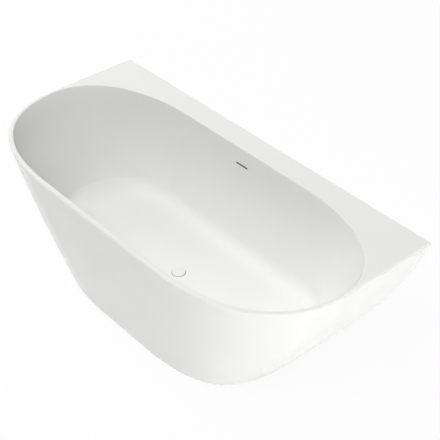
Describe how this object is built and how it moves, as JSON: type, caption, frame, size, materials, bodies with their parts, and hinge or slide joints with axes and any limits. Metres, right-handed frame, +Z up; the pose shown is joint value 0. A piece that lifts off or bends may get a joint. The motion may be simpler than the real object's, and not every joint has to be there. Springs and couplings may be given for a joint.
{
  "type": "freestanding bathtub",
  "caption": "White back-to-wall freestanding bath with a D-shaped tapering skirt, flat rear deck, slot overflow, press-to-close waste and levelling feet.",
  "frame": {"origin": "on the floor, under the middle of the rim's box", "axes": "+X along the length, +Y towards the wall, +Z up"},
  "size_m": [1.7, 0.8, 0.58],
  "materials": {
    "white_acrylic": "glossy white sanitary acrylic",
    "glass_fibre": "sprayed glass-fibre backing",
    "board": "sealed chipboard",
    "painted_steel": "black powder coat",
    "zinc_steel": "zinc plate",
    "spring_steel": "stainless spring wire",
    "white_enamel": "white enamel on brass",
    "brass": "turned brass",
    "black_rubber": "moulded rubber",
    "black_plastic": "moulded black plastic",
    "grey_plastic": "moulded white polypropylene",
    "hose_plastic": "ribbed pale grey hose"
  },
  "bodies": {
    "bath": {"basin_shell": "white_acrylic", "outer_skirt": "white_acrylic", "basin_laminate": "glass_fibre", "baseboard": "board", "frame_rail_front": "painted_steel", "frame_rail_rear": "painted_steel", "frame_cross_left": "painted_steel", "frame_cross_right": "painted_steel", "frame_cross_middle": "painted_steel", "baseboard_screws": "zinc_steel", "skirt_brackets": "zinc_steel", "bracket_screws": "zinc_steel", "weld_nuts": "zinc_steel", "lock_nuts": "zinc_steel", "waste_flange": "white_enamel", "waste_seal_upper": "black_rubber", "waste_seal_lower": "black_rubber", "overflow_seal": "black_rubber", "waste_body": "grey_plastic", "plug_cartridge": "brass", "plug_spring": "spring_steel", "overflow_box": "black_plastic", "overflow_hose": "hose_plastic", "hose_nuts": "grey_plastic"},
    "plug": {"waste_cap": "white_enamel", "plug_stem": "brass", "plug_seal": "black_rubber"},
    "foot_1": {"foot_pad_1": "black_plastic", "foot_stud_1": "zinc_steel"},
    "foot_2": {"foot_pad_2": "black_plastic", "foot_stud_2": "zinc_steel"},
    "foot_3": {"foot_pad_3": "black_plastic", "foot_stud_3": "zinc_steel"},
    "foot_4": {"foot_pad_4": "black_plastic", "foot_stud_4": "zinc_steel"},
    "foot_5": {"foot_pad_5": "black_plastic", "foot_stud_5": "zinc_steel"}
  },
  "joints": [
    {"name": "plug_lift", "type": "slide", "parent": "bath", "child": "plug", "axis": [0, 0, 1], "range_m": [0, 0.009], "deforming": ["plug_spring"]},
    {"name": "foot_1_level", "type": "slide", "parent": "bath", "child": "foot_1", "axis": [0, 0, 1], "range_m": [-0.02, 0.005]},
    {"name": "foot_2_level", "type": "slide", "parent": "bath", "child": "foot_2", "axis": [0, 0, 1], "range_m": [-0.02, 0.005]},
    {"name": "foot_3_level", "type": "slide", "parent": "bath", "child": "foot_3", "axis": [0, 0, 1], "range_m": [-0.02, 0.005]},
    {"name": "foot_4_level", "type": "slide", "parent": "bath", "child": "foot_4", "axis": [0, 0, 1], "range_m": [-0.02, 0.005]},
    {"name": "foot_5_level", "type": "slide", "parent": "bath", "child": "foot_5", "axis": [0, 0, 1], "range_m": [-0.02, 0.005]}
  ]
}
